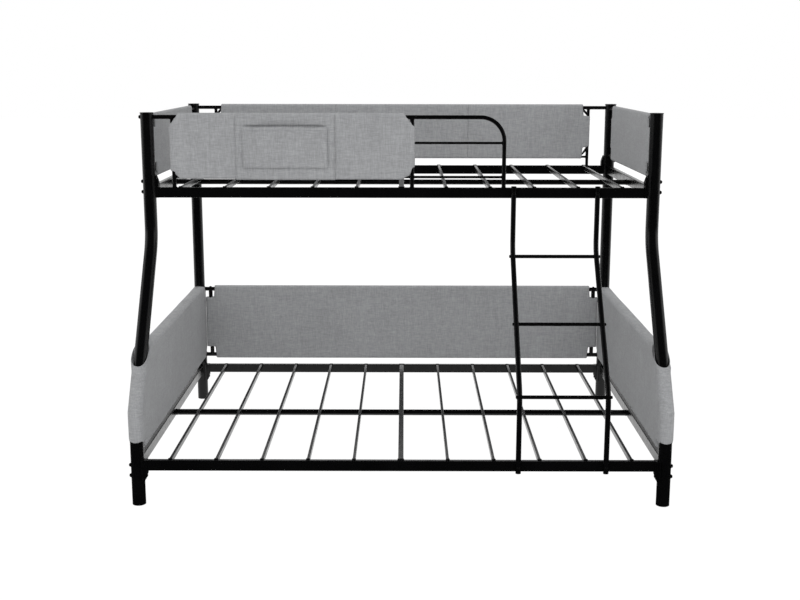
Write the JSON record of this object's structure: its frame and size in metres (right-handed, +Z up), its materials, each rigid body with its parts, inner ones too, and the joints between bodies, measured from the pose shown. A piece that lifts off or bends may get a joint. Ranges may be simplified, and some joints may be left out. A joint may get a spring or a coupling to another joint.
{
  "type": "bunk bed",
  "caption": "Steel-tube bunk bed, narrow bunk over wide bunk, with leaning front posts, a bent ladder, slatted decks, fabric-covered guards and panels, and a storage pocket.",
  "frame": {"origin": "on the floor, under the middle of the whole bed's box", "axes": "+X along the bed towards the ladder's end, +Y from the ladder side to the wall side, +Z up"},
  "size_m": [2.019, 1.4841, 1.43],
  "materials": {
    "frame_paint": "semi-gloss",
    "zinc_steel": "satin",
    "black_fasteners": "satin",
    "black_plastic": "matte",
    "grey_linen": "matte"
  },
  "bodies": {
    "root": {"lower_front_left_post": "frame_paint", "lower_rear_left_post": "frame_paint", "upper_front_left_post": "frame_paint", "upper_rear_left_post": "frame_paint", "lower_front_right_post": "frame_paint", "lower_rear_right_post": "frame_paint", "upper_front_right_post": "frame_paint", "upper_rear_right_post": "frame_paint", "lower_front_rail": "frame_paint", "lower_rear_rail": "frame_paint", "upper_front_rail": "frame_paint", "upper_rear_rail": "frame_paint", "lower_left_end_rail": "frame_paint", "upper_left_end_rail": "frame_paint", "lower_right_end_rail": "frame_paint", "upper_right_end_rail": "frame_paint", "lower_rail_brackets": "frame_paint", "upper_rail_brackets": "frame_paint", "lower_slats": "frame_paint", "lower_middle_slat": "frame_paint", "lower_mid_beam": "frame_paint", "upper_slats": "frame_paint", "upper_middle_slat": "frame_paint", "upper_mid_beam": "frame_paint", "front_guard_tube": "frame_paint", "front_guard_uprights": "frame_paint", "front_guard_rods": "frame_paint", "rear_guard_tube": "frame_paint", "rear_guard_uprights": "frame_paint", "rear_guard_rod": "frame_paint", "rear_guard_gussets": "frame_paint", "back_panel_frame": "frame_paint", "upper_left_end_frame": "frame_paint", "lower_left_end_frame": "frame_paint", "upper_right_end_frame": "frame_paint", "lower_right_end_frame": "frame_paint", "ladder_rungs": "frame_paint", "ladder_left_rail": "frame_paint", "ladder_right_rail": "frame_paint", "post_couplings": "zinc_steel", "rail_bolts": "black_fasteners", "rail_nuts": "black_fasteners", "guard_bolts": "black_fasteners", "back_panel_bolts": "black_fasteners", "ladder_rung_bolts": "black_fasteners", "ladder_bolts": "black_fasteners", "post_caps": "black_plastic", "foot_caps": "black_plastic", "lower_slat_caps": "black_plastic", "upper_slat_caps": "black_plastic", "front_guard_cover": "grey_linen", "rear_guard_cover": "grey_linen", "back_panel_cover": "grey_linen", "upper_left_end_cover": "grey_linen", "lower_left_end_cover": "grey_linen", "upper_right_end_cover": "grey_linen", "lower_right_end_cover": "grey_linen", "storage_pocket": "grey_linen"}
  },
  "joints": []
}
